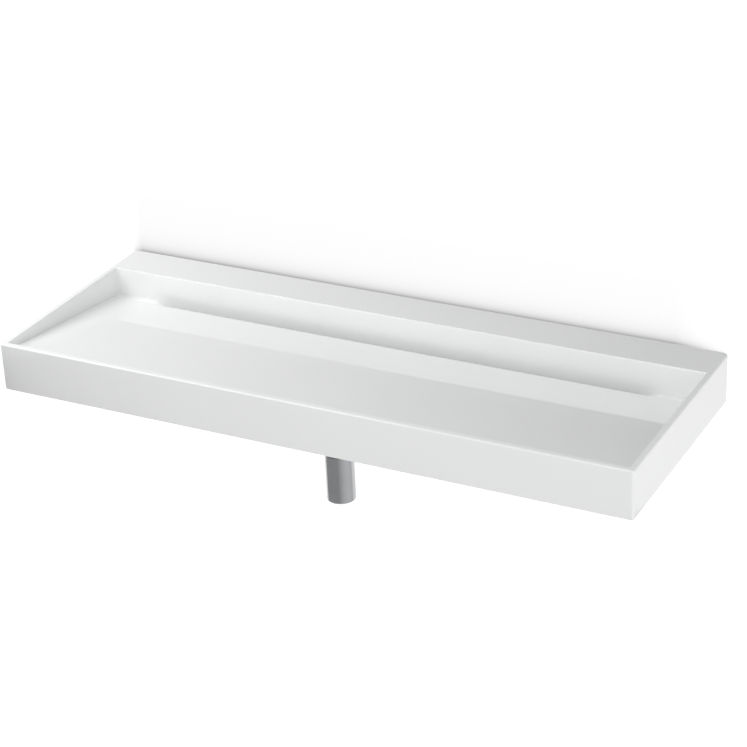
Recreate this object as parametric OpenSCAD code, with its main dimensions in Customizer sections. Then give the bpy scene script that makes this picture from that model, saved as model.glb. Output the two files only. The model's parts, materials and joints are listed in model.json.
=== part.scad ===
// Wall-hung washbasin of glazed ceramic with a hidden slot drain and a chromed bottle trap.
// X runs along the basin, Y towards the wall and Z up. The origin is the centre of the row of
// wall bolts, on the wall's face. Heights in the sizes below count from the basin's underside.

/* [Basin] */
// Width of the basin along the wall
basin_w = 1200; // [1000:10:1400]
// Depth from the wall to the front face
basin_d = 450; // [430:5:520]
// Height of the outer faces
basin_h = 90; // [84:1:120]
// Radius of the two upright corners in front
corner_r = 4; // [4:0.5:12]
// Radius of the two upright corners at the wall
rear_corner_r = 13; // [6:0.5:16]
// Rounding of the outer edges, at the rim and underneath
edge_r = 3; // [1.5:0.5:3.5]
// Thickness of the front and side walls
wall_t = 11.5; // [8.5:0.5:13]
// Rounding of the bowl's upper edge
rim_r = 4; // [1.5:0.5:4.5]
// Radius of the bowl's upright corners
bowl_r = 6; // [4:0.5:12]
// Depth of the flat ledge along the wall
ledge_d = 85; // [75:1:100]
// Thickness of the bottom under the waste
bottom_t = 8; // [6:0.5:9]

/* [Hollow ledge] */
// Thickness of the ledge's top
ledge_t = 10; // [7:0.5:14]
// Thickness of the wall that lies against the building
back_t = 12; // [9:0.5:16]
// Thickness of the wall between the bowl and the hollow
inner_wall_t = 8; // [6:0.5:12]
// Thickness of the hollow's end walls
end_wall_t = 10; // [8:0.5:16]
// Thickness of the two ribs across the hollow
rib_t = 9; // [6:0.5:14]
// Distance from the middle to each rib
rib_x = 270; // [210:5:330]
// Radius of the hollow's upright corners
hollow_r = 8; // [3:0.5:12]

/* [Floor plate] */
// Height of the floor's upper face at the front wall
floor_front_z = 77; // [70:0.5:79]
// Height of the floor's upper face at its rear edge
floor_rear_z = 38.5; // [37:0.5:44]
// Thickness of the plate
plate_t = 8.5; // [8:0.5:10]
// Thickness of the plate at its rear edge
plate_edge_t = 7; // [6.5:0.5:8]
// Run of the chamfer that thins the rear edge
plate_chamfer_l = 18; // [10:1:30]
// Gap between the plate and the bowl's walls
plate_gap = 0.6; // [0.5:0.1:2]
// Rounding of the plate's rear edge
plate_edge_r = 5; // [2:0.5:6]
// Radius of the plate's rear corners, which leave a finger hole
plate_corner_r = 9; // [6:0.5:14]
// Thickness of the pads that carry the plate
pad_t = 2; // [1:0.5:2.5]
// Radius of the pads
pad_r = 4; // [3:0.5:4.5]
// Distance from the front pads to the first pads at the sides
side_pad_l = 40; // [20:5:80]
// Width of the shoulders under the plate's edges
shoulder_w = 10; // [9.5:0.5:20]

/* [Trough and sump] */
// Width of the slot between the floor and the bowl's rear wall
slot_w = 21; // [14:1:26]
// Height of the trough's bottom in the middle
trough_mid_z = 14; // [13:0.5:16]
// Height of the shelf that closes each end of the trough
trough_end_z = 34.5; // [30:0.5:36]
// Length of these shelves
trough_shelf_l = 80; // [50:5:120]
// Length of the ramp from each shelf down into the trough
trough_ramp_l = 38; // [20:2:80]
// Height of the sump's bottom at its ends
sump_end_z = 18; // [14:0.5:20]
// Height of the sump's bottom at the front
sump_front_z = 16; // [14:0.5:20]
// Radius of the sump's upright corners
sump_r = 14; // [6:1:24]
// Radius of the two posts under the plate's rear edge
post_r = 8; // [6:0.5:12]
// Distance from the middle to each post
post_x = 200; // [120:10:300]

/* [Wall fixing] */
// Height of the wall bolts
bolt_z = 50; // [44:1:56]
// Distance between the two inner wall bolts
bolt_inner_s = 280; // [200:5:340]
// Distance between the two outer wall bolts
bolt_outer_s = 800; // [720:5:900]
// Radius of the bolts' machine thread
bolt_r = 5; // [4:0.5:6]
// Radius of the bolts' wood thread
wood_r = 4.8; // [3.8:0.1:5.8]
// Length of the bolts in the wall
wood_l = 70; // [50:5:110]
// Length of the bolt's pointed end
tip_l = 9; // [5:1:15]
// Radius of the holes for the bolts' bushes
bush_hole_r = 11.2; // [9:0.1:14]
// Radius of the bushes' flanges
bush_flange_r = 16; // [15:0.5:18]
// Thickness of the bushes' flanges
bush_flange_t = 4; // [2:0.5:6]
// Radius of the steel washers
bolt_washer_r = 14; // [10:0.5:16]
// Thickness of the steel washers
bolt_washer_t = 2; // [1:0.5:3]
// Width across the flats of the bolts' nuts
bolt_nut_af = 17; // [13:1:19]
// Height of the bolts' nuts
bolt_nut_h = 8; // [5:0.5:10]
// Thread that shows beyond each nut
bolt_spare_l = 7; // [3:1:15]

/* [Waste] */
// Distance from the wall to the waste's axis
waste_y = 310; // [270:5:330]
// Radius of the hole through the bottom
waste_hole_r = 23; // [22:0.5:25]
// Radius of the recess for the waste's flange
recess_r = 34; // [33.5:0.5:40]
// Depth of that recess
recess_h = 4; // [3:0.5:5]
// Radius of the waste's flange
flange_r = 31.5; // [29:0.5:33]
// Height of the flange above its seal
flange_h = 2; // [1.5:0.25:3]
// Radius of the strainer in the flange
grid_r = 18.5; // [16:0.5:19.5]
// Drop from the flange's seat to the strainer's upper face
grid_drop = 0.5; // [0:0.25:1]
// Number of holes in the strainer
grid_holes = 8; // [6:1:10]
// Radius of the strainer's holes
grid_hole_r = 3.2; // [2:0.1:3.6]
// Radius of the waste's tail, over its thread
tail_r = 20.95; // [19:0.05:21.5]
// Wall of the tail
tail_wall = 2.95; // [2:0.05:4]
// Length of the tail under the basin
tail_l = 27; // [25:0.5:40]
// Thickness of the rubber seals above and below the bottom
seal_t = 2; // [1.5:0.25:4]
// Thickness of the slip washer
slip_t = 1.5; // [1:0.25:3]
// Height of the back nut
back_nut_h = 8.5; // [6:0.5:10]
// Width across the flats of the back nut
back_nut_af = 52; // [48:1:60]
// Radius of the screw that holds the strainer
screw_r = 3; // [2.5:0.25:3.5]
// Radius of that screw's head
screw_head_r = 5.5; // [4.5:0.25:6.5]
// Height of that screw's head
screw_head_h = 3; // [2:0.25:3.5]

/* [Bottle trap] */
// Radius of the cup and the head
cup_r = 26; // [25:0.5:32]
// Wall of the cup
cup_wall = 1.5; // [1:0.1:2.5]
// Length of the cup
cup_l = 91.5; // [70:0.5:140]
// Rounding of the cup's lower edge
cup_edge_r = 2.5; // [1:0.5:6]
// Length of the head's barrel
head_l = 38; // [38:0.5:50]
// Length of the thread that the cup screws on
spigot_l = 13; // [8:0.5:20]
// Wall of that thread
spigot_wall = 2.4; // [1.5:0.1:3.5]
// Thickness of the cup's gasket
gasket_t = 1.5; // [1:0.25:2.5]
// Radius of the dip tube
dip_r = 15; // [13:0.5:15.5]
// Wall of the dip tube
dip_wall = 1; // [0.8:0.1:1.5]
// Clearance between the dip tube's end and the cup's bottom
dip_clear = 36; // [20:1:45]
// Width across the flats of the union nut
union_af = 47; // [45:1:54]

/* [Outlet] */
// Radius of the outlet pipe
pipe_r = 16; // [14:0.5:16]
// Wall of the outlet pipe
pipe_wall = 1.2; // [0.8:0.1:2]
// Length of the outlet pipe inside the wall
pipe_in_wall = 45; // [20:5:90]
// Distance from the trap's axis to the end of the outlet's thread
boss_l = 46; // [42:1:56]
// Radius of the outlet's thread
boss_r = 18.5; // [18.5:0.1:18.7]
// Width across the flats of the outlet nut
outlet_af = 41; // [41:1:46]
// Radius of the wall rosette
rosette_r = 35; // [28:1:45]
// Height of the rosette
rosette_h = 12; // [8:0.5:18]
// Thickness of the rosette's sheet
rosette_t = 1.2; // [0.8:0.1:2]
// Radius of the rosette's collar round the pipe
rosette_neck_r = 20; // [18.5:0.5:24]

/* [Hidden] */
$fn = 64;
arc_steps = 5;
over = 1;
thread_gap = 0.08;
slide_gap = 0.05;
rest_gap = 0.05;
loose_gap = 0.2;
nut_chamfer = 30;
nut_turned = 0.3;

bowl_x = basin_w / 2 - wall_t;
bowl_front = wall_t - basin_d;
bowl_rear = -ledge_d;
plate_front = bowl_front + plate_gap;
plate_rear = bowl_rear - slot_w;
trough_face = plate_rear + plate_gap;
thin_y = plate_rear - plate_chamfer_l;
post_y = thin_y - post_r;

hollow_x = basin_w / 2 - end_wall_t;
hollow_front = -ledge_d + inner_wall_t;
hollow_top = basin_h - ledge_t;
bush_y = -back_t;
washer_y = bush_y - bush_flange_t;
nut_y = washer_y - bolt_washer_t;
bolt_end_y = nut_y - bolt_nut_h - bolt_spare_l;
bolt_xs = [-bolt_outer_s / 2, -bolt_inner_s / 2, bolt_inner_s / 2, bolt_outer_s / 2];
bush_r = bush_hole_r - loose_gap;
tip_r = 1.2;

sump_mid_z = bottom_t + recess_h;
flange_z = bottom_t + seal_t;
flange_top = flange_z + flange_h;
flange_edge = 0.8;
grid_top = flange_z - grid_drop;
grid_t = 2;
dish_w = 2;
dish_h = 0.5;
tail_top = grid_top - grid_t;
tail_bore = tail_r - tail_wall;
seal_inset = 1;
seal_inner_r = tail_r + seal_inset;
seal_outer_r = flange_r - seal_inset;
screw_slot_w = 1.2;
screw_crown_r = 3.8;
screw_spare_l = 2;
bridge_h = 6;
bridge_w = 9;
bridge_drop = 6;
bridge_top = tail_top - bridge_drop;
bridge_end = bridge_top - bridge_h;
lower_seal_t = 2 * seal_t;
lower_seal_edge = 6;
lower_seal_r = waste_hole_r + lower_seal_edge;
slip_edge = 4;
slip_r = waste_hole_r + slip_edge;
slip_top = -lower_seal_t;
back_nut_top = slip_top - slip_t;
back_nut_end = back_nut_top - back_nut_h;
nut_bore = tail_r + thread_gap;
nut_space = 2;
union_top = back_nut_end - nut_space;
trap_seal_t = 1.5;
trap_seal_r = dip_r + seal_inset;
collar_top = -tail_l - trap_seal_t;
collar_t = 2;
union_floor = collar_top - collar_t;
union_floor_t = 2;
union_end = union_floor - union_floor_t;
neck_wall = 3;
neck_r = dip_r + neck_wall;
union_gap = 0.5;
head_top = union_end - union_gap;
head_end = head_top - head_l;
head_bore = cup_r - cup_wall - spigot_wall;
head_roof = 5;
head_edge = 1.5;
spigot_r = cup_r - cup_wall - thread_gap;
spigot_end = head_end - spigot_l;
cup_top = head_end - gasket_t;
cup_end = cup_top - cup_l;
cup_bottom_t = 2;
dip_end = cup_end + cup_bottom_t + dip_clear;
outlet_z = (head_top + head_end) / 2;
pipe_grip = 12;
pipe_start = boss_l - pipe_grip;
pipe_stop = 2;
outlet_seal_t = 3.5;
outlet_seal_end = boss_l + outlet_seal_t;
outlet_nut_t = 3.5;
outlet_nut_lip = 4;
outlet_nut_start = pipe_start - outlet_nut_lip;
rosette_start = waste_y - rosette_h;
rosette_shoulder = 5.4;
rosette_flare = 1.6;
rosette_brim = 2;
foam_t = 3;

// Height of the floor's upper face at a distance y from the wall
function floor_z(y) = floor_rear_z
    + (floor_front_z - floor_rear_z) * (plate_rear - y) / (plate_rear - bowl_front);

// Angle by which the floor slopes
function floor_tilt() = atan((floor_front_z - floor_rear_z) / (plate_rear - bowl_front));

// Height of the sump's bottom at a distance x from the middle
function fall_z(x) = sump_mid_z
    + (sump_end_z - sump_mid_z) * (x - recess_r) / (bowl_x - recess_r);

// Height of the shoulders that the plate's pads rest on
function seat_z(y) = floor_z(y) - plate_t - pad_t;

// Points along an arc about c, from angle a to angle b
function arc(c, r, a, b) = [for (i = [0:arc_steps])
    c + r * [cos(a + (b - a) * i / arc_steps), sin(a + (b - a) * i / arc_steps)]];

// Outline of a rectangle with one corner radius in front and another behind
function rounded_outline(x, y0, y1, r0, r1) = concat(
    arc([x - r1, y1 - r1], r1, 0, 90), arc([r1 - x, y1 - r1], r1, 90, 180),
    arc([r0 - x, y0 + r0], r0, 180, 270), arc([x - r0, y0 + r0], r0, 270, 360));

// Puts what is modelled from the basin's underside into the part's frame
module from_underside() {
    translate([0, 0, -bolt_z]) children();
}

// The same, on the axis of the waste and the trap
module on_waste() {
    translate([0, -waste_y, -bolt_z]) children();
}

// The same, on the outlet pipe's axis, with +Z turned towards the wall
module on_outlet() {
    on_waste() translate([0, 0, outlet_z]) rotate([-90, 0, 0]) children();
}

// The same, on each wall bolt's axis, with +Z turned away from the wall and zero on the wall
module on_bolts() {
    for (x = bolt_xs) translate([x, 0, 0]) rotate([90, 0, 0]) children();
}

// Extrudes a profile of Y and Z along X
module along_x(x0, x1) {
    translate([x0, 0, 0]) rotate([90, 0, 90]) linear_extrude(x1 - x0) children();
}

// Extrudes a profile of X and Z along Y
module along_y(y0, y1) {
    translate([0, y1, 0]) rotate([90, 0, 0]) linear_extrude(y1 - y0) children();
}

// A solid with upright sides round a rectangle, with corners of radius r0 in front and r1
// behind. The two profiles give its edges, first the front's and sides', then the rear's:
// x counts outwards from the corners' centres and y is the height.
module swept_solid(x, y0, y1, r0, r1, z0, z1) {
    side_l = y1 - y0 - r0 - r1;
    translate([r0 - x, y0 + r0, z0]) cube([2 * (x - r0), side_l, z1 - z0]);
    translate([r0 - x, y0 + r0, 0]) rotate([0, 0, 180]) {
        rotate_extrude(angle = 90) children(0);
        rotate([90, 0, 0]) linear_extrude(side_l) children(0);
    }
    translate([x - r0, y0 + r0, 0]) rotate([0, 0, 270]) {
        rotate_extrude(angle = 90) children(0);
        rotate([90, 0, 0]) linear_extrude(2 * (x - r0)) children(0);
    }
    translate([x - r0, y1 - r1, 0]) rotate([90, 0, 0]) linear_extrude(side_l) children(0);
    translate([r1 - x, y1 - r1, 0]) rotate([0, 0, 90]) {
        rotate_extrude(angle = 90) children(1);
        rotate([90, 0, 0]) linear_extrude(2 * (x - r1)) children(1);
    }
    translate([x - r1, y1 - r1, 0]) rotate_extrude(angle = 90) children(1);
}

// A ring between two radii and two heights
module ring(r_in, r_out, z0, z1) {
    translate([0, 0, z0]) difference() {
        cylinder(r = r_out, h = z1 - z0);
        translate([0, 0, -over]) cylinder(r = r_in, h = z1 - z0 + 2 * over);
    }
}

// A hexagon nut with turned corners and a plain bore
module hex_nut(af, bore_r, z0, z1) {
    corner = af / 2 / cos(30);
    turned = af / 2 + nut_turned * (corner - af / 2);
    drop = (corner - turned) * tan(nut_chamfer);
    difference() {
        intersection() {
            translate([0, 0, z0]) cylinder(r = corner, h = z1 - z0, $fn = 6);
            rotate_extrude() polygon([[0, z0], [turned, z0], [corner, z0 + drop],
                [corner, z1 - drop], [turned, z1], [0, z1]]);
        }
        translate([0, 0, z0 - over]) cylinder(r = bore_r, h = z1 - z0 + 2 * over);
    }
}

// Profile of the outer block's edge at a corner of radius r
module outer_profile(r) {
    polygon(concat([[0, 0]], arc([r - edge_r, edge_r], edge_r, -90, 0),
        arc([r - edge_r, basin_h - edge_r], edge_r, 0, 90), [[0, basin_h]]));
}

// Outer block of the basin, with rounded corners and edges
module outer_block() {
    swept_solid(basin_w / 2, -basin_d, 0, corner_r, rear_corner_r, 0, basin_h) {
        outer_profile(corner_r);
        outer_profile(rear_corner_r);
    }
}

// Profile of the bowl's edge, flared at the rim
module bowl_profile() {
    top = basin_h + over;
    polygon(concat([[0, bottom_t], [bowl_r, bottom_t]],
        arc([bowl_r + rim_r, basin_h - rim_r], rim_r, 180, 90),
        [[bowl_r + rim_r, top], [0, top]]));
}

// What the bowl's walls enclose, flared at the rim, down to the bottom of the sump
module bowl_space() {
    swept_solid(bowl_x, bowl_front, bowl_rear, bowl_r, bowl_r, bottom_t, basin_h + over) {
        bowl_profile();
        bowl_profile();
    }
}

// Space over the sump's bottom, seen from the front: it falls towards the middle
module sump_fall() {
    sump_x = bowl_x - shoulder_w;
    top = basin_h + 2 * over;
    intersection() {
        along_y(bowl_front, bowl_rear) polygon([[-bowl_x, sump_end_z], [-recess_r, sump_mid_z],
            [recess_r, sump_mid_z], [bowl_x, sump_end_z], [bowl_x, top], [-bowl_x, top]]);
        linear_extrude(top) polygon(rounded_outline(
            sump_x, bowl_front + shoulder_w, trough_face, sump_r, sump_r));
    }
}

// Space over the trough's bottom, with a ramp and a shelf at each end
module trough_fall() {
    shelf_x = bowl_x - trough_shelf_l;
    ramp_x = shelf_x - trough_ramp_l;
    end_x = bowl_x + over;
    top = basin_h + 2 * over;
    along_y(trough_face - over, bowl_rear + over) polygon([[-end_x, trough_end_z],
        [-shelf_x, trough_end_z], [-ramp_x, fall_z(ramp_x)], [-recess_r, sump_mid_z],
        [recess_r, sump_mid_z], [ramp_x, fall_z(ramp_x)], [shelf_x, trough_end_z],
        [end_x, trough_end_z], [end_x, top], [-end_x, top]]);
}

// Space over both bottoms, seen from the side: they fall towards the waste
module fall_across() {
    top = basin_h + 2 * over;
    along_x(-bowl_x - over, bowl_x + over) polygon([[bowl_front, sump_front_z],
        [-waste_y - recess_r, sump_mid_z], [recess_r - waste_y, sump_mid_z],
        [bowl_rear + over, trough_mid_z], [bowl_rear + over, top], [bowl_front, top]]);
}

// Everything above the shoulders, and above the trough's ends behind the plate
module above_seat() {
    front = bowl_front - over;
    rear = bowl_rear + over;
    top = basin_h + 2 * over;
    along_x(-bowl_x - over, bowl_x + over) polygon([[front, seat_z(front)],
        [trough_face, seat_z(trough_face)], [trough_face, trough_end_z], [rear, trough_end_z],
        [rear, top], [front, top]]);
}

// The whole space inside the bowl: bowl, trough and the sump under the floor plate
module bowl_cut() {
    intersection() {
        bowl_space();
        union() {
            above_seat();
            intersection() {
                fall_across();
                union() {
                    sump_fall();
                    trough_fall();
                }
            }
        }
    }
}

// Posts that carry the plate's rear edge
module posts() {
    intersection() {
        for (x = [-post_x, post_x]) translate([x, post_y, bottom_t / 2])
            cylinder(r = post_r, h = basin_h);
        along_x(-post_x - 2 * post_r, post_x + 2 * post_r) polygon([
            [post_y - 2 * post_r, 0], [post_y + 2 * post_r, 0],
            [post_y + 2 * post_r, seat_z(post_y + 2 * post_r)],
            [post_y - 2 * post_r, seat_z(post_y - 2 * post_r)]]);
    }
}

// The hollow under the ledge, open below, in three bays between the ribs
module ledge_hollow() {
    edges = [-hollow_x, -rib_x - rib_t / 2, rib_t / 2 - rib_x, rib_x - rib_t / 2,
        rib_x + rib_t / 2, hollow_x];
    for (i = [0, 2, 4]) translate([(edges[i] + edges[i + 1]) / 2, 0, -over])
        linear_extrude(hollow_top + over) polygon(rounded_outline(
            (edges[i + 1] - edges[i]) / 2, hollow_front, -back_t, hollow_r, hollow_r));
}

// Ceramic body: bowl, rim, ledge and sump in one casting
module basin_body() {
    color("white") from_underside() {
        difference() {
            outer_block();
            bowl_cut();
            ledge_hollow();
            translate([0, -waste_y, -over]) cylinder(r = waste_hole_r, h = bottom_t + 2 * over);
            translate([0, -waste_y, bottom_t]) cylinder(r = recess_r, h = recess_h + over);
            for (x = bolt_xs) translate([x, over, bolt_z]) rotate([90, 0, 0])
                cylinder(r = bush_hole_r, h = back_t + 2 * over);
        }
        posts();
    }
}

// Ceramic floor plate, which lifts out over the sump
module floor_plate() {
    front = plate_front - over;
    lip_y = plate_rear - plate_edge_r;
    lip_z = floor_z(lip_y) - plate_edge_r / cos(floor_tilt());
    rear_top = arc([lip_y, lip_z], plate_edge_r, 90 - floor_tilt(), 0);
    color("whitesmoke") from_underside() intersection() {
        linear_extrude(basin_h) polygon(rounded_outline(
            bowl_x - plate_gap, plate_front, plate_rear, bowl_r - plate_gap, plate_corner_r));
        along_x(-bowl_x, bowl_x) polygon(concat([[front, floor_z(front) - plate_t],
            [front, floor_z(front)]], rear_top, [[plate_rear, floor_rear_z - plate_edge_t],
            [thin_y, floor_z(thin_y) - plate_t]]));
    }
}

// Rubber pads under the plate, on the shoulders and the posts
module plate_pads() {
    side_x = bowl_x - shoulder_w / 2;
    front_y = bowl_front + shoulder_w / 2;
    side_ys = [front_y + side_pad_l, (front_y + plate_rear) / 2, thin_y - pad_r];
    spots = concat([for (x = [-side_x, side_x], y = side_ys) [x, y]],
        [for (x = [-post_x, post_x], y = [front_y, post_y]) [x, y]]);
    color("dimgray") from_underside() intersection() {
        for (p = spots) translate([p[0], p[1], 0]) cylinder(r = pad_r, h = basin_h);
        along_x(-bowl_x, bowl_x) polygon([
            [bowl_front, seat_z(bowl_front) + rest_gap], [plate_rear, seat_z(plate_rear) + rest_gap],
            [plate_rear, seat_z(plate_rear) + pad_t], [bowl_front, seat_z(bowl_front) + pad_t]]);
    }
}

// Hanger bolts: machine thread inside the hollow, wood thread in the wall
module hanger_bolts() {
    color("silver") on_bolts() {
        cylinder(r = bolt_r, h = -bolt_end_y);
        translate([0, 0, -wood_l + tip_l]) cylinder(r = wood_r, h = wood_l - tip_l);
        translate([0, 0, -wood_l]) cylinder(r1 = tip_r, r2 = wood_r, h = tip_l);
    }
}

// Flanged plastic bushes in the back wall's holes
module bolt_bushes() {
    color("gainsboro") on_bolts() difference() {
        union() {
            translate([0, 0, over]) cylinder(r = bush_r, h = back_t - over);
            translate([0, 0, -bush_y]) cylinder(r = bush_flange_r, h = bush_flange_t);
        }
        cylinder(r = bolt_r + slide_gap, h = back_t + bush_flange_t + over);
    }
}

// Steel washers on the bushes
module bolt_washers() {
    color("silver") on_bolts() ring(bolt_r + slide_gap, bolt_washer_r, -washer_y, -nut_y);
}

// Nuts on the hanger bolts
module bolt_nuts() {
    color("silver") on_bolts()
        hex_nut(bolt_nut_af, bolt_r + thread_gap, -nut_y, bolt_nut_h - nut_y);
}

// Flange of the waste with its sunk strainer
module waste_grid() {
    hole_ring = (grid_r + screw_head_r) / 2;
    color("silver") on_waste() difference() {
        rotate_extrude() polygon([[0, tail_top], [tail_r, tail_top], [seal_inner_r, flange_z],
            [flange_r, flange_z], [flange_r, flange_top - flange_edge],
            [flange_r - flange_edge, flange_top], [grid_r + dish_w, grid_top + dish_h],
            [grid_r, grid_top], [0, grid_top]]);
        translate([0, 0, tail_top - over])
            cylinder(r = screw_r + loose_gap, h = grid_t + 2 * over);
        for (i = [1:grid_holes]) rotate([0, 0, 360 * i / grid_holes])
            translate([hole_ring, 0, tail_top - over]) cylinder(r = grid_hole_r, h = grid_t + 2 * over);
    }
}

// Screw from the strainer into the tail's bridge
module waste_screw() {
    slot_z = grid_top + screw_head_h / 2;
    color("silver") on_waste() difference() {
        union() {
            translate([0, 0, bridge_end - screw_spare_l])
                cylinder(r = screw_r, h = slot_z - bridge_end + screw_spare_l);
            rotate_extrude() polygon([[0, grid_top], [screw_head_r, grid_top],
                [screw_head_r, slot_z], [screw_crown_r, grid_top + screw_head_h],
                [0, grid_top + screw_head_h]]);
        }
        translate([-screw_head_r - over, -screw_slot_w / 2, slot_z])
            cube([2 * (screw_head_r + over), screw_slot_w, screw_head_h]);
    }
}

// Rubber seal between the flange and the ceramic
module waste_upper_seal() {
    color("dimgray") on_waste() ring(seal_inner_r, seal_outer_r, bottom_t, flange_z);
}

// Threaded tail of the waste, with the bridge that takes the screw
module waste_tail() {
    color("silver") on_waste() difference() {
        union() {
            ring(tail_bore, tail_r, -tail_l, tail_top);
            intersection() {
                translate([0, 0, bridge_end])
                    cylinder(r = tail_bore + tail_wall / 2, h = bridge_h);
                translate([-tail_r, -bridge_w / 2, bridge_end - over])
                    cube([2 * tail_r, bridge_w, bridge_h + 2 * over]);
            }
        }
        translate([0, 0, bridge_end - over])
            cylinder(r = screw_r + thread_gap, h = bridge_h + 2 * over);
    }
}

// Tapered rubber washer under the ceramic
module waste_lower_seal() {
    taper = lower_seal_t / 2;
    color("dimgray") on_waste() difference() {
        rotate_extrude() polygon([[0, slip_top], [slip_r, slip_top],
            [lower_seal_r, -taper], [lower_seal_r, 0], [0, 0]]);
        translate([0, 0, slip_top - over]) cylinder(r = nut_bore, h = lower_seal_t + 2 * over);
    }
}

// Plastic washer that lets the back nut turn
module waste_slip_washer() {
    color("gainsboro") on_waste() ring(nut_bore, slip_r, back_nut_top, slip_top);
}

// Back nut that clamps the waste to the ceramic
module waste_back_nut() {
    color("goldenrod") on_waste() hex_nut(back_nut_af, nut_bore, back_nut_end, back_nut_top);
}

// Union nut that hangs the trap on the tail
module trap_union_nut() {
    color("silver") on_waste() difference() {
        hex_nut(union_af, neck_r + slide_gap, union_end, union_top);
        translate([0, 0, union_floor]) cylinder(r = nut_bore, h = union_top - union_floor + over);
    }
}

// Flat rubber seal between the tail and the trap
module trap_inlet_seal() {
    color("dimgray") on_waste() ring(trap_seal_r, tail_r, collar_top, -tail_l);
}

// Head of the trap: collar and neck, barrel, the cup's thread and the outlet's thread
module trap_head() {
    color("silver") on_waste() difference() {
        union() {
            rotate_extrude() polygon([[0, spigot_end], [spigot_r, spigot_end],
                [spigot_r, head_end], [cup_r, head_end], [cup_r, head_top - head_edge],
                [cup_r - head_edge, head_top], [neck_r, head_top], [neck_r, union_floor],
                [tail_r, union_floor], [tail_r, collar_top], [0, collar_top]]);
            translate([0, cup_r / 2, outlet_z]) rotate([-90, 0, 0])
                cylinder(r = boss_r, h = boss_l - cup_r / 2);
        }
        translate([0, 0, head_top - head_roof]) mirror([0, 0, 1])
            cylinder(r = head_bore, h = head_l + spigot_l);
        translate([0, 0, head_end]) cylinder(r = dip_r, h = collar_top - head_end + over);
        translate([0, head_bore / 2, outlet_z]) rotate([-90, 0, 0])
            cylinder(r = pipe_r - pipe_stop, h = boss_l);
        translate([0, pipe_start, outlet_z]) rotate([-90, 0, 0])
            cylinder(r = pipe_r + slide_gap, h = boss_l);
    }
}

// Tube that carries the water down into the cup
module trap_dip_tube() {
    outer = dip_r - slide_gap;
    color("silver") on_waste() ring(dip_r - dip_wall, outer, dip_end, collar_top);
}

// Gasket between the cup and the head
module trap_gasket() {
    color("dimgray") on_waste() ring(cup_r - cup_wall, cup_r, cup_top, head_end - rest_gap);
}

// Cup of the trap, which unscrews for cleaning
module trap_cup() {
    inner = cup_r - cup_wall;
    color("silver") on_waste() rotate_extrude() polygon(concat(
        [[0, cup_end]], arc([cup_r - cup_edge_r, cup_end + cup_edge_r], cup_edge_r, -90, 0),
        [[cup_r, cup_top], [inner, cup_top], [inner, cup_end + cup_bottom_t + cup_edge_r],
        [inner - cup_edge_r, cup_end + cup_bottom_t], [0, cup_end + cup_bottom_t]]));
}

// Nut on the outlet's thread
module outlet_nut() {
    color("silver") on_outlet() difference() {
        hex_nut(outlet_af, pipe_r + loose_gap, outlet_nut_start, outlet_seal_end + outlet_nut_t);
        translate([0, 0, outlet_nut_start - over])
            cylinder(r = boss_r + thread_gap, h = outlet_seal_end - outlet_nut_start + over);
    }
}

// Rubber ring that the outlet nut presses on the pipe
module outlet_seal() {
    taper = outlet_seal_t / 3;
    color("dimgray") on_outlet() difference() {
        rotate_extrude() polygon([[0, boss_l], [boss_r, boss_l],
            [boss_r - taper, outlet_seal_end], [0, outlet_seal_end]]);
        translate([0, 0, boss_l - over])
            cylinder(r = pipe_r + slide_gap, h = outlet_seal_t + 2 * over);
    }
}

// Outlet pipe from the trap into the wall
module outlet_pipe() {
    color("silver") on_outlet() ring(pipe_r - pipe_wall, pipe_r, pipe_start, waste_y + pipe_in_wall);
}

// Chromed rosette that hides the hole in the wall
module wall_rosette() {
    bore = pipe_r + 2 * loose_gap;
    neck = rosette_neck_r;
    brim = rosette_r - rosette_brim;
    color("silver") on_outlet() translate([0, 0, rosette_start]) rotate_extrude()
        polygon([[bore, 0], [neck, 0], [neck + rosette_flare, rosette_shoulder - rosette_t],
            [brim, rosette_h - rosette_brim - rosette_t], [rosette_r, rosette_h - rosette_t],
            [rosette_r, rosette_h], [rosette_r - rosette_t, rosette_h],
            [brim - rosette_t, rosette_h - rosette_brim], [neck, rosette_shoulder],
            [neck - rosette_t, rosette_t], [bore, rosette_t]]);
}

// Foam ring that holds the rosette on the pipe
module rosette_ring() {
    start = rosette_start + rosette_t;
    color("dimgray") on_outlet() ring(pipe_r + slide_gap, rosette_neck_r - rosette_t - slide_gap,
        start, start + foam_t);
}

basin_body();
floor_plate();
plate_pads();
hanger_bolts();
bolt_bushes();
bolt_washers();
bolt_nuts();
waste_grid();
waste_screw();
waste_upper_seal();
waste_tail();
waste_lower_seal();
waste_slip_washer();
waste_back_nut();
trap_union_nut();
trap_inlet_seal();
trap_head();
trap_dip_tube();
trap_gasket();
trap_cup();
outlet_nut();
outlet_seal();
outlet_pipe();
wall_rosette();
rosette_ring();
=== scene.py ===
"""Looks of a wall-hung ceramic washbasin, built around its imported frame."""

import json
import math

import bmesh
import bpy
from mathutils import Matrix, Vector, noise

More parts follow.
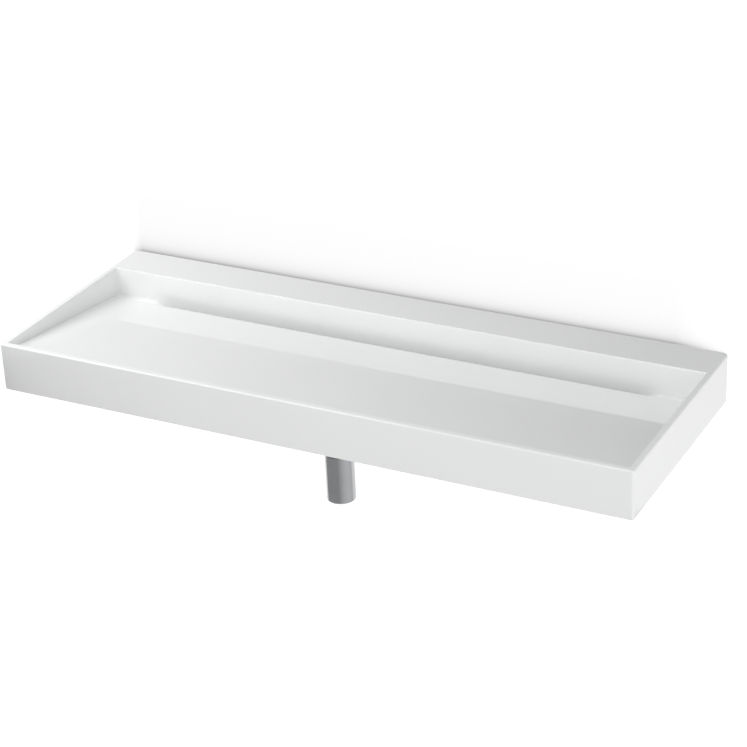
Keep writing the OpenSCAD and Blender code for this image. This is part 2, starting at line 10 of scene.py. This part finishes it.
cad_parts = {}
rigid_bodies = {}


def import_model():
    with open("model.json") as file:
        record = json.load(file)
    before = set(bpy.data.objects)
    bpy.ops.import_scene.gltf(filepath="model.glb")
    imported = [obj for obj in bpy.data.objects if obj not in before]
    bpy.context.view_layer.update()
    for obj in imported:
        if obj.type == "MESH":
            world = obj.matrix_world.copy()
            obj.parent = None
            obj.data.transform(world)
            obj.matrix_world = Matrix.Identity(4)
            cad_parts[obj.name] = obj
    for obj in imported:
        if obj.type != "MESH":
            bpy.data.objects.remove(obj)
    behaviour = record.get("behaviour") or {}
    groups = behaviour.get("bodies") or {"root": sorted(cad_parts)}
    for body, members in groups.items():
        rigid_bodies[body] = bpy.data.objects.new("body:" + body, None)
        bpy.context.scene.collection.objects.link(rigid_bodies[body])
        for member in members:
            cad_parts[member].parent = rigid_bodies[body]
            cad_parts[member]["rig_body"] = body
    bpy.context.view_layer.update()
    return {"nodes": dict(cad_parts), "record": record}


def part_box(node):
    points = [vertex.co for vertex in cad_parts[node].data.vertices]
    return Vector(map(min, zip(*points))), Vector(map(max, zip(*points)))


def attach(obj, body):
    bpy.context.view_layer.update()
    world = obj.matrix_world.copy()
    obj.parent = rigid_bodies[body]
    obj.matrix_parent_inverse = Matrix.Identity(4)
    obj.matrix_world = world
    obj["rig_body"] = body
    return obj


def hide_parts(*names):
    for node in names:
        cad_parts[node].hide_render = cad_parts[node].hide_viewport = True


for left_over in list(bpy.data.objects):
    bpy.data.objects.remove(left_over)
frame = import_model()
NODES = frame["nodes"]


# Places from the frame, in metres

def corners(node):
    """The lowest and the highest corner of a CAD node, to a hundredth of a millimetre."""
    return [tuple(round(value, 5) for value in corner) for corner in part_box(node)]


def middle(node):
    """The middle of a CAD node, to a tenth of a millimetre."""
    low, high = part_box(node)
    return [round(value, 4) for value in (low + high) / 2]


LOWEST, HIGHEST = corners("basin_body")
_, FRONT, UNDERSIDE = LOWEST
RIGHT, WALL, LEDGE = HIGHEST
WASTE = middle("waste_tail")
OUTLET = middle("outlet_pipe")
BOLT_SPACINGS = [mount["dims"]["spacing_x_mm"] / 1000 for mount in frame["record"]["mounts"]
                 if mount["kind"] == "bolt_pattern"]
BOLTS = [(side * spacing / 2, 0, 0) for spacing in BOLT_SPACINGS for side in (-1, 1)]


# Shader nodes

def feed(tree, socket, value):
    """Links a socket to another node's output, or sets it to a plain value."""
    if isinstance(value, bpy.types.NodeSocket):
        tree.links.new(value, socket)
    else:
        socket.default_value = value


def coordinates(tree, stretch=(1, 1, 1)):
    """Object coordinates, in metres, stretched along the axes."""
    place = tree.nodes.new("ShaderNodeTexCoord")
    mapping = tree.nodes.new("ShaderNodeMapping")
    mapping.inputs["Scale"].default_value = stretch
    tree.links.new(place.outputs["Object"], mapping.inputs["Vector"])
    return mapping.outputs["Vector"]


def split_axes(tree, vector):
    """The three coordinates of a vector, by the names X, Y and Z."""
    made = tree.nodes.new("ShaderNodeSeparateXYZ")
    tree.links.new(vector, made.inputs["Vector"])
    return made.outputs


def noise_value(tree, scale, detail, stretch=(1, 1, 1)):
    """A noise with about so many clouds to the metre."""
    made = tree.nodes.new("ShaderNodeTexNoise")
    made.inputs["Scale"].default_value = scale
    made.inputs["Detail"].default_value = detail
    tree.links.new(coordinates(tree, stretch), made.inputs["Vector"])
    return made.outputs["Fac"]


def ranged(tree, value, low, high, from_low=0.3, from_high=0.7):
    """A value brought from one range to another. Noise mostly lies between 0.3 and 0.7."""
    made = tree.nodes.new("ShaderNodeMapRange")
    made.inputs["From Min"].default_value = from_low
    made.inputs["From Max"].default_value = from_high
    made.inputs["To Min"].default_value = low
    made.inputs["To Max"].default_value = high
    tree.links.new(value, made.inputs["Value"])
    return made.outputs["Result"]


def calculated(tree, operation, *values):
    """The result of a Math node on plain numbers or other nodes' outputs."""
    made = tree.nodes.new("ShaderNodeMath")
    made.operation = operation
    for socket, value in zip(made.inputs, values):
        feed(tree, socket, value)
    return made.outputs["Value"]


def mixed(tree, value, first, second):
    """A colour between two colours, by a value from 0 to 1."""
    made = tree.nodes.new("ShaderNodeMix")
    made.data_type = "RGBA"
    feed(tree, made.inputs["A"], first)
    feed(tree, made.inputs["B"], second)
    tree.links.new(value, made.inputs["Factor"])
    return made.outputs["Result"]


# Materials

def start_material(name, color, rough, metallic=0.0):
    """A material of a plain colour and roughness, with its nodes and its shader."""
    made = bpy.data.materials.new(name)
    made.use_nodes = True
    tree = made.node_tree
    shader = tree.nodes["Principled BSDF"]
    shader.inputs["Base Color"].default_value = (*color, 1)
    shader.inputs["Roughness"].default_value = rough
    shader.inputs["Metallic"].default_value = metallic
    return made, tree, shader


def tinted(tree, shader, value, low, high):
    """Lets the colour drift between two, by a noise."""
    tint = mixed(tree, ranged(tree, value, 0, 1), (*low, 1), (*high, 1))
    tree.links.new(tint, shader.inputs["Base Color"])


def bumped(tree, shader, value, distance):
    """Lets the surface rise and fall by a noise, over a distance in metres."""
    made = tree.nodes.new("ShaderNodeBump")
    made.inputs["Distance"].default_value = distance
    tree.links.new(value, made.inputs["Height"])
    tree.links.new(made.outputs["Normal"], shader.inputs["Normal"])


def glaze():
    """Thick white glaze: cloudy by a hair, smooth on top, with a faint orange peel."""
    made, tree, shader = start_material("glaze", (0.871, 0.880, 0.876), 0.32)
    tinted(tree, shader, noise_value(tree, 5, 3), (0.864, 0.873, 0.869), (0.878, 0.887, 0.883))
    tree.links.new(ranged(tree, noise_value(tree, 30, 3), 0.28, 0.36), shader.inputs["Roughness"])
    shader.inputs["Coat Weight"].default_value = 1.0
    shader.inputs["Coat Roughness"].default_value = 0.035
    shader.inputs["Coat IOR"].default_value = 1.5
    shader.inputs["Specular IOR Level"].default_value = 0.3
    bumped(tree, shader, noise_value(tree, 140, 2), 0.000004)
    return made


def bisque():
    """Bare fired clay where the glaze was wiped off."""
    made, tree, shader = start_material("bisque", (0.78, 0.76, 0.72), 0.85)
    tinted(tree, shader, noise_value(tree, 900, 4), (0.74, 0.71, 0.66), (0.82, 0.80, 0.76))
    bumped(tree, shader, noise_value(tree, 1500, 4), 0.00004)
    return made


def metal(name, low, high, rough, scale, stretch=(1, 1, 1), peel=0.000002):
    """Bare or plated metal whose tone and gloss drift a little."""
    made, tree, shader = start_material(name, low, rough[0], 1.0)
    tinted(tree, shader, noise_value(tree, scale, 3, stretch), low, high)
    gloss = ranged(tree, noise_value(tree, 2 * scale, 3, stretch), *rough)
    tree.links.new(gloss, shader.inputs["Roughness"])
    bumped(tree, shader, noise_value(tree, 12 * scale, 2, stretch), peel)
    return made


def moulded(name, low, high, rough=(0.55, 0.75)):
    """Rubber or plastic with the fine grain of its mould."""
    made, tree, shader = start_material(name, low, rough[0])
    tinted(tree, shader, noise_value(tree, 300, 4), low, high)
    gloss = ranged(tree, noise_value(tree, 200, 3), *rough)
    tree.links.new(gloss, shader.inputs["Roughness"])
    bumped(tree, shader, noise_value(tree, 2500, 3), 0.00002)
    return made


GLAZE = glaze()
BISQUE = bisque()
# The other materials, by their slots
FINISHES = {
    "chrome_plate": metal("chrome", (0.44, 0.45, 0.46), (0.47, 0.48, 0.49), (0.10, 0.15), 25),
    "zinced_steel": metal("zinced_steel", (0.52, 0.53, 0.55), (0.64, 0.64, 0.63), (0.30, 0.48), 220),
    "bare_brass": metal("bare_brass", (0.66, 0.50, 0.24), (0.74, 0.58, 0.31), (0.26, 0.42), 90,
                        stretch=(1, 1, 14), peel=0.00001),
    "white_plastic": moulded("white_plastic", (0.80, 0.80, 0.77), (0.84, 0.84, 0.82), (0.42, 0.52)),
    "black_rubber": moulded("black_rubber", (0.025, 0.025, 0.027), (0.055, 0.055, 0.055)),
    "grey_rubber": moulded("grey_rubber", (0.26, 0.27, 0.28), (0.33, 0.34, 0.35)),
}


# Shapes

# Vertices closer than this are one, and faces that meet flatter than this are one
SAME_PLACE = 3e-6
SAME_PLANE = math.radians(0.3)
# Edges sharper than this are rounded, and edges that are still sharper than this keep their crease
ROUNDED_ANGLE = math.radians(30)
CREASE_ANGLE = math.radians(38)
# How close a vertex lies to a cut, to the radius of its cylinder and to its face of the basin
NEAR_CUT = 1e-6
NEAR_RADIUS = 0.00002
NEAR_FACE = 0.0005


def share(value, low, high):
    """How far a value has come from low, 0, to high, 1."""
    return min(1.0, max(0.0, (value - low) / (high - low)))


def merged(node):
    """A CAD node's mesh with its split edges joined again and its flat faces whole."""
    made = bmesh.new()
    made.from_mesh(NODES[node].data)
    bmesh.ops.remove_doubles(made, verts=made.verts, dist=SAME_PLACE)
    bmesh.ops.dissolve_limit(made, angle_limit=SAME_PLANE, verts=made.verts, edges=made.edges)
    return made


def eased(made, width, segments=2, where=None):
    """Rounds the sharp edges, or those that a test picks."""
    edges = [e for e in made.edges if e.is_manifold and e.calc_face_angle(0) > ROUNDED_ANGLE
             and (where is None or where(e))]
    bmesh.ops.bevel(made, geom=edges, offset=width, offset_type="OFFSET", segments=segments,
                    profile=0.5, affect="EDGES", clamp_overlap=True)


def cut_across(made, axis, low, high, step):
    """Cuts a mesh by planes across an axis, about a step apart."""
    normal = Vector((axis == 0, axis == 1, axis == 2))
    count = int((high - low) / step)
    for i in range(1, count + 1):
        at = normal * (low + (high - low) * i / (count + 1))
        bmesh.ops.bisect_plane(made, geom=made.verts[:] + made.edges[:] + made.faces[:],
                               dist=NEAR_CUT, plane_co=at, plane_no=normal)


def finished(name, made, body, materials, replaced):
    """Turns a bmesh into a shown piece that rides on its body."""
    mesh = bpy.data.meshes.new(name)
    bmesh.ops.recalc_face_normals(made, faces=made.faces)
    made.to_mesh(mesh)
    made.free()
    for each in materials:
        mesh.materials.append(each)
    mesh.shade_smooth()
    mesh.set_sharp_from_angle(angle=CREASE_ANGLE)
    piece = bpy.data.objects.new(name, mesh)
    bpy.context.scene.collection.objects.link(piece)
    weighted = piece.modifiers.new("weighted", "WEIGHTED_NORMAL")
    weighted.keep_sharp = True
    weighted.weight = 80
    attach(piece, body)
    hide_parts(*replaced)


# Ceramic

# Widths of the rounded edges: round the outside, along the rims and the slot, and round the plate
OUTER_EDGE, RIM_EDGE, PLATE_EDGE = 0.0026, 0.0012, 0.0004
# How far before the slot the plate's edges are as round as the rims
SLOT_BAND = 0.009
# How far apart the cuts are that let the large faces carry a wave, along each axis
WAVE_CUTS = (0.025, 0.025, 0.03)
# Long and short waves of the clay: how many long ones to the metre along each axis, how many
# short ones to a long one, their heights, and their places in the noise
WAVES = (5.5, 7.0, 7.0)
SHORT_TO_LONG = 2.7
LONG_HEIGHT, SHORT_HEIGHT = 0.00022, 0.00006
LONG_PLACE, SHORT_PLACE = Vector((3.1, 0.7, 5.2)), Vector((1.3, 9.2, 4.4))
# The seed of that noise, without which each run would have other waves
NOISE_SEED = 1
# How far off the wall the waves are full
WALL_FADE = 0.03
# How much the clay shrinks along each axis, so that its waves stay inside the mould
SHRINKAGE = (0.0004, 0.0006, 0.005)
# How far the bare clay reaches from the wall and from the underside
BARE_AT_WALL, BARE_BELOW = 0.0004, 0.0006
# Just outside the hollow under the ledge, which is bare too
HOLLOW_FRONT, HOLLOW_TOP, HOLLOW_SIDE = -0.0775, 0.0305, 0.5905
# How far the fired plate spreads to its sides and front, and over which width beside them
PLATE_SPREAD, SPREAD_WIDTH = 0.0004, 0.0179


def wave(point):
    """How far a point of the fired clay lies off its mould, in metres."""
    spread = Vector([count * at for count, at in zip(WAVES, point)])
    long_wave = noise.noise_vector(spread + LONG_PLACE)
    short_wave = noise.noise_vector(SHORT_TO_LONG * spread + SHORT_PLACE)
    return LONG_HEIGHT * long_wave + SHORT_HEIGHT * short_wave


def fired(made):
    """Gives the clay its faint waves, which fade out at the wall."""
    centre = Vector((0, WALL, (UNDERSIDE + LEDGE) / 2))
    for v in made.verts:
        fade = share(WALL - v.co.y, 0, WALL_FADE)
        inside = Vector([-part * at for part, at in zip(SHRINKAGE, v.co - centre)])
        v.co += fade * (wave(v.co) + inside)


def gridded(made, axes):
    """Cuts a mesh finely enough along some axes to carry the waves."""
    for axis in axes:
        cut_across(made, axis, LOWEST[axis], HIGHEST[axis], WAVE_CUTS[axis])
    bmesh.ops.triangulate(made, faces=[f for f in made.faces if len(f.verts) > 4])


def outer_low(edge):
    """Whether an edge is an upright edge of the front, or lies round the underside."""
    first, second = (v.co for v in edge.verts)
    side = min(abs(first.x), abs(second.x)) > RIGHT - NEAR_FACE and first.x * second.x > 0
    front = max(first.y, second.y) < FRONT + NEAR_FACE
    low = max(first.z, second.z) < UNDERSIDE + NEAR_FACE
    return side and front or (side or front) and low


def off_wall_edge(edge):
    """Whether an edge doesn't reach the wall at the ledge's height. Those that do stay crisp."""
    first, second = (v.co for v in edge.verts)
    return max(first.y, second.y) < WALL - NEAR_FACE or max(first.z, second.z) < LEDGE - NEAR_FACE


def ceramic_body():
    """The glazed body, with bare clay on the wall, underneath and in the hollow under the ledge."""
    made = merged("basin_body")
    eased(made, OUTER_EDGE, 4, where=outer_low)
    eased(made, RIM_EDGE, 3, where=off_wall_edge)
    gridded(made, (0, 1, 2))
    for f in made.faces:
        centre = f.calc_center_median()
        on_wall = centre.y > WALL - BARE_AT_WALL
        underneath = centre.z < UNDERSIDE + BARE_BELOW
        in_hollow = (centre.y > HOLLOW_FRONT and centre.z < HOLLOW_TOP
                     and abs(centre.x) < HOLLOW_SIDE)
        f.material_index = 1 if on_wall or underneath or in_hollow else 0
    fired(made)
    finished("ceramic_body", made, "basin", [GLAZE, BISQUE], ["basin_body"])


def ceramic_floor():
    """The floor plate, with crisp edges that all but meet the walls, and a round one at the slot."""
    (_, front, _), (side, rear, _) = corners("floor_plate")
    made = merged("floor_plate")
    eased(made, RIM_EDGE, 3, where=lambda e: min(v.co.y for v in e.verts) > rear - SLOT_BAND)
    eased(made, PLATE_EDGE)
    gridded(made, (0, 1))
    for v in made.verts:
        outwards = PLATE_SPREAD * share(abs(v.co.x), side - SPREAD_WIDTH, side)
        v.co.x += math.copysign(outwards, v.co.x)
        v.co.y -= PLATE_SPREAD * share(-v.co.y, -front - SPREAD_WIDTH, -front)
    fired(made)
    finished("ceramic_floor", made, "plate", [GLAZE], ["floor_plate"])


# Fixings, waste and trap

# Threads of the nodes: centres, axis, radius, places from and to, pitch, depth
THREADS = {
    "hanger_bolts": [(BOLTS, 1, 0.0050, -0.0330, -0.0150, 0.0015, 0.0008),
                     (BOLTS, 1, 0.0048, 0.0030, 0.0610, 0.0036, 0.0009)],
    "waste_tail": [([WASTE], 2, 0.02095, -0.0768, -0.0510, 0.0023, 0.0011)],
    "trap_head": [([WASTE], 2, 0.02442, -0.1340, -0.1212, 0.0030, 0.0012),
                  ([OUTLET], 1, 0.0185, -0.2835, -0.2642, 0.0023, 0.0011)],
}
RINGS_PER_TURN = 6
# Where a thread's flank begins and ends, between the middle of its crest, 0, and of its root, 1
FLANK = (0.1, 0.9)


def threaded(made, centres, axis, radius, low, high, pitch, depth):
    """Cuts a V thread between two places along an axis into cylinders round some centres."""
    cut_across(made, axis, low, high, pitch / RINGS_PER_TURN)
    first, second = [(1, 2), (2, 0), (0, 1)][axis]
    for v in made.verts:
        if not low <= v.co[axis] <= high:
            continue
        for centre in centres:
            across = Vector((v.co[first] - centre[first], v.co[second] - centre[second]))
            if abs(across.length - radius) > NEAR_RADIUS:
                continue
            turn = v.co[axis] / pitch - math.atan2(across.y, across.x) / math.tau
            from_crest = abs(2 * (turn % 1) - 1)
            fade = min(1, (v.co[axis] - low) / pitch, (high - v.co[axis]) / pitch)
            groove = depth * fade * share(from_crest, *FLANK)
            v.co[first] -= groove * across.x / across.length
            v.co[second] -= groove * across.y / across.length


def plain_piece(node, slot, width):
    """A CAD node with eased edges and its threads."""
    body = NODES[node]["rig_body"]
    made = merged(node)
    eased(made, width)
    for thread in THREADS.get(node, []):
        threaded(made, *thread)
    finished(node + "_piece", made, body, [FINISHES[slot]], [node])


noise.seed_set(NOISE_SEED)
ceramic_body()
ceramic_floor()
for node, slot, width in [
    ("plate_pads", "grey_rubber", 0.0003),
    ("hanger_bolts", "zinced_steel", 0.0003),
    ("bolt_bushes", "white_plastic", 0.0004),
    ("bolt_washers", "zinced_steel", 0.0002),
    ("bolt_nuts", "zinced_steel", 0.0003),
    ("waste_grid", "chrome_plate", 0.0002),
    ("waste_screw", "chrome_plate", 0.0002),
    ("waste_upper_seal", "black_rubber", 0.0003),
    ("waste_tail", "chrome_plate", 0.0003),
    ("waste_lower_seal", "black_rubber", 0.0004),
    ("waste_slip_washer", "white_plastic", 0.0002),
    ("waste_back_nut", "bare_brass", 0.0004),
    ("trap_union_nut", "chrome_plate", 0.0004),
    ("trap_inlet_seal", "black_rubber", 0.0003),
    ("trap_head", "chrome_plate", 0.0004),
    ("trap_dip_tube", "chrome_plate", 0.0002),
    ("trap_gasket", "black_rubber", 0.0002),
    ("trap_cup", "chrome_plate", 0.0003),
    ("outlet_nut", "chrome_plate", 0.0004),
    ("outlet_seal", "black_rubber", 0.0003),
    ("outlet_pipe", "chrome_plate", 0.0002),
    ("wall_rosette", "chrome_plate", 0.0003),
    ("rosette_ring", "black_rubber", 0.0002),
]:
    plain_piece(node, slot, width)


# Floor, wall shade, card and flag

FLOOR_LEVEL = -0.9
FLOOR_REACH = 9
# How much the floor glows where it is seen, so that it shows white
FLOOR_GLOW = 0.6
# How far the shade and the flag stand to the side of the basin's middle
STAGE_SIDE = 0.63


def stage_material(name):
    """A material with no shader yet, its nodes, and the socket for its surface."""
    made = bpy.data.materials.new(name)
    made.use_nodes = True
    tree = made.node_tree
    tree.nodes.clear()
    return made, tree, tree.nodes.new("ShaderNodeOutputMaterial").inputs["Surface"]


def sheet(name, material, points, faces=((0, 1, 2, 3),)):
    """A sheet of one face or more with a material."""
    mesh = bpy.data.meshes.new(name)
    mesh.from_pydata(points, [], faces)
    mesh.materials.append(material)
    made = bpy.data.objects.new(name, mesh)
    bpy.context.scene.collection.objects.link(made)
    return made


def seen(tree):
    """1 for what the camera sees, directly or in metal and glass, and 0 for what lights the object."""
    path = tree.nodes.new("ShaderNodeLightPath")
    straight = calculated(tree, "MAXIMUM", path.outputs["Is Camera Ray"],
                          path.outputs["Is Glossy Ray"])
    return calculated(tree, "MAXIMUM", straight, path.outputs["Is Transmission Ray"])


def studio_floor():
    """A plain pale floor that shows white and keeps the shadows."""
    made, tree, surface = stage_material("studio_floor")
    plain = tree.nodes.new("ShaderNodeBsdfDiffuse")
    plain.inputs["Color"].default_value = (0.8, 0.8, 0.8, 1)
    glow = tree.nodes.new("ShaderNodeEmission")
    tree.links.new(calculated(tree, "MULTIPLY", seen(tree), FLOOR_GLOW), glow.inputs["Strength"])
    both = tree.nodes.new("ShaderNodeAddShader")
    tree.links.new(plain.outputs[0], both.inputs[0])
    tree.links.new(glow.outputs[0], both.inputs[1])
    tree.links.new(both.outputs[0], surface)
    signs = [(-1, -1), (1, -1), (1, 1), (-1, 1)]
    floor = sheet("studio_floor", made, [(FLOOR_REACH * x, FLOOR_REACH * y, FLOOR_LEVEL) for x, y in signs])


def wall_shade():
    """The basin's painted shade on the wall, glowing grey. Only the camera sees it, and only from the
    front.

    It is darkest at the ledge, and its darkness falls to a quarter over its reach.
    """
    behind, foot, high = WALL + 0.001, LEDGE - 0.01, LEDGE + 0.12
    darkest, reach = 0.55, 0.014
    left_fade, right_fade = (-0.61, -0.585), (0.50, 0.612)
    made, tree, surface = stage_material("wall_shade")
    axes = split_axes(tree, coordinates(tree))
    height = ranged(tree, axes["Z"], 1, 1 + (high - LEDGE) / reach, LEDGE, high)
    fading = calculated(tree, "POWER", height, -2)
    # The strip's grey glow is the painted shade: darkest at the ledge, paler with height
    glow = tree.nodes.new("ShaderNodeEmission")
    tree.links.new(calculated(tree, "MULTIPLY_ADD", fading, -darkest, 1), glow.inputs["Strength"])
    ends = calculated(tree, "MULTIPLY", ranged(tree, axes["X"], 0, 1, *left_fade),
                      ranged(tree, axes["X"], 1, 0, *right_fade))
    turned = tree.nodes.new("ShaderNodeNewGeometry").outputs["Backfacing"]
    shown = calculated(tree, "MULTIPLY", ends, ranged(tree, turned, 1, 0, 0, 1))
    both = tree.nodes.new("ShaderNodeMixShader")
    tree.links.new(shown, both.inputs[0])
    tree.links.new(tree.nodes.new("ShaderNodeBsdfTransparent").outputs[0], both.inputs[1])
    tree.links.new(glow.outputs[0], both.inputs[2])
    tree.links.new(both.outputs[0], surface)
    strip = sheet("wall_shade", made, [(-STAGE_SIDE, behind, foot), (STAGE_SIDE, behind, foot),
                                       (STAGE_SIDE, behind, high), (-STAGE_SIDE, behind, high)])
    strip.visible_diffuse = False
    strip.visible_glossy = False
    strip.visible_transmission = False
    strip.visible_shadow = False


def studio_card():
    """A glowing grey card bent round the cup, below the basin: a painted reflection, seen nowhere else.

    It is paler on the right, and its top drops there between two turns, in radians.
    """
    count, first_turn, step = 46, -95, 5
    radius, middle_y, top = 1.0, -0.3, -0.2
    drop, drop_turns = 0.25, (0.8, 1.4)
    dark, pale, pale_places = 0.44, 0.86, (0.2, 0.98)
    made, tree, surface = stage_material("studio_card")
    made.cycles.emission_sampling = "NONE"
    # Its glow, darker on the left and paler on the right, is the painted reflection
    glow = tree.nodes.new("ShaderNodeEmission")
    across = split_axes(tree, coordinates(tree))["X"]
    tree.links.new(ranged(tree, across, dark, pale, *pale_places), glow.inputs["Strength"])
    tree.links.new(glow.outputs[0], surface)
    turns = [math.radians(first_turn + step * i) for i in range(count)]
    low = [(radius * math.sin(turn), middle_y - radius * math.cos(turn), FLOOR_LEVEL) for turn in turns]
    high = [(x, y, top - drop * share(turn, *drop_turns)) for turn, (x, y, _) in zip(turns, low)]
    faces = [(i, i + 1, count + i + 1, count + i) for i in range(count - 1)]
    card = sheet("studio_card", made, low + high, faces)
    card.visible_camera = False
    card.visible_diffuse = False
    card.visible_shadow = False


def studio_flag():
    """A black flag left of the front. It keeps light off the front's left end."""
    near, far, foot, high = FRONT - 0.01, FRONT - 0.41, -0.7, 0.09
    made = start_material("studio_flag", (0.02, 0.02, 0.02), 0.9)[0]
    flag = sheet("studio_flag", made, [(-STAGE_SIDE, near, foot), (-STAGE_SIDE, far, foot),
                                       (-STAGE_SIDE, far, high), (-STAGE_SIDE, near, high)])
    flag.visible_camera = False
    flag.visible_glossy = False


# World

WORLD_LEVEL = 0.525
# Places across the painted sky, from left to right, and its brightness there in reflections
SKY = [(-0.62, 0.72), (-0.45, 0.46), (-0.36, 0.18), (-0.30, 0.0), (0.1, 0.0), (0.3, 0.6)]
# How high that sky begins, and where it is full
SKY_FOOT = (0.06, 0.12)


def studio_world():
    """An even grey light, white to the camera, with a painted sky that shows only in reflections."""
    world = bpy.data.worlds.new("studio")
    bpy.context.scene.world = world
    world.use_nodes = True
    tree = world.node_tree
    place = tree.nodes.new("ShaderNodeTexCoord")
    axes = split_axes(tree, place.outputs["Generated"])
    across = tree.nodes.new("ShaderNodeValToRGB")
    knots = across.color_ramp.elements
    while len(knots) < len(SKY):
        knots.new(0.5)
    for knot, (at, value) in zip(knots, SKY):
        knot.position = 0.5 * (at + 1)
        knot.color = (value, value, value, 1)
    tree.links.new(ranged(tree, axes["X"], 0, 1, -1, 1), across.inputs["Fac"])
    path = tree.nodes.new("ShaderNodeLightPath")
    mirrored = calculated(tree, "MULTIPLY", ranged(tree, axes["Z"], 0, 1, *SKY_FOOT),
                          ranged(tree, path.outputs["Is Camera Ray"], 1, 0, 0, 1))
    shown = mixed(tree, mirrored, (1, 1, 1, 1), across.outputs["Color"])
    both = mixed(tree, seen(tree), (WORLD_LEVEL, WORLD_LEVEL, WORLD_LEVEL, 1), shown)
    tree.links.new(both, tree.nodes["Background"].inputs["Color"])


# Lamps

# What most lamps are turned to
MIDDLE = (0, -0.25, 0)
# Name, place, target, size and power of each lamp
LAMPS = [
    ("key", (0.2, -2.5, 2.3), MIDDLE, (1.4, 1.0), 9.2),
    ("key_right", (1.8, -2.1, 2.2), MIDDLE, (1.2, 1.0), 7.8),
    ("key_middle", (0.2, -3.0, 1.6), MIDDLE, (1.6, 0.8), 10.3),
    ("key_left", (-1.0, -1.5, 1.4), (-0.4, -0.25, 0), (0.7, 0.6), 6.4),
    ("top_left", (-1.2, -0.4, 0.9), (-0.4, -0.25, 0), (0.6, 0.6), 5.7),
    ("front_right", (2.4, -2.6, 0.9), MIDDLE, (1.4, 1.4), 5.3),
    ("right", (2.6, -0.6, 0.6), (0.4, -0.25, 0), (1.2, 1.4), 4.9),
    ("right_low", (2.4, -0.9, -0.4), (0.6, -0.25, 0), (1.2, 0.8), 5.0),
]


def lamp(name, place, target, size, power):
    """A softbox at a place, turned to a target, in metres and watts."""
    data = bpy.data.lights.new(name, "AREA")
    data.shape = "RECTANGLE"
    data.size, data.size_y = size
    data.energy = power
    made = bpy.data.objects.new(name, data)
    made.location = place
    made.rotation_euler = (Vector(target) - Vector(place)).to_track_quat("-Z", "Y").to_euler()
    made.visible_camera = False
    bpy.context.scene.collection.objects.link(made)


# Camera

# Solved from the basin's corners: degrees, metres, and millimetres for the lens and its sensor
AZIMUTH, ELEVATION, ROLL = 28.2984, 26.5710, -2.7011
CAMERA_PLACE = (1.69002, -3.30908, 1.74857)
LENS, SENSOR = 108.2553, 36


def photograph_camera():
    """The camera that the photograph was taken with."""
    azimuth, elevation, roll = (math.radians(angle) for angle in (AZIMUTH, ELEVATION, ROLL))
    ahead = Vector((-math.sin(azimuth) * math.cos(elevation), math.cos(azimuth) * math.cos(elevation),
                    -math.sin(elevation)))
    level = ahead.cross(Vector((0, 0, 1))).normalized()
    above = level.cross(ahead)
    right = math.cos(roll) * level + math.sin(roll) * above
    up = math.cos(roll) * above - math.sin(roll) * level
    data = bpy.data.cameras.new("camera")
    data.sensor_width = SENSOR
    data.lens = LENS
    data.clip_end = 60
    made = bpy.data.objects.new("camera", data)
    turn = Matrix((right, up, -ahead)).transposed().to_4x4()
    made.matrix_world = Matrix.Translation(CAMERA_PLACE) @ turn
    bpy.context.scene.collection.objects.link(made)
    bpy.context.scene.camera = made


studio_floor()
studio_card()
studio_flag()
wall_shade()
studio_world()
for each in LAMPS:
    lamp(*each)
photograph_camera()
bpy.context.scene.view_settings.view_transform = "Standard"
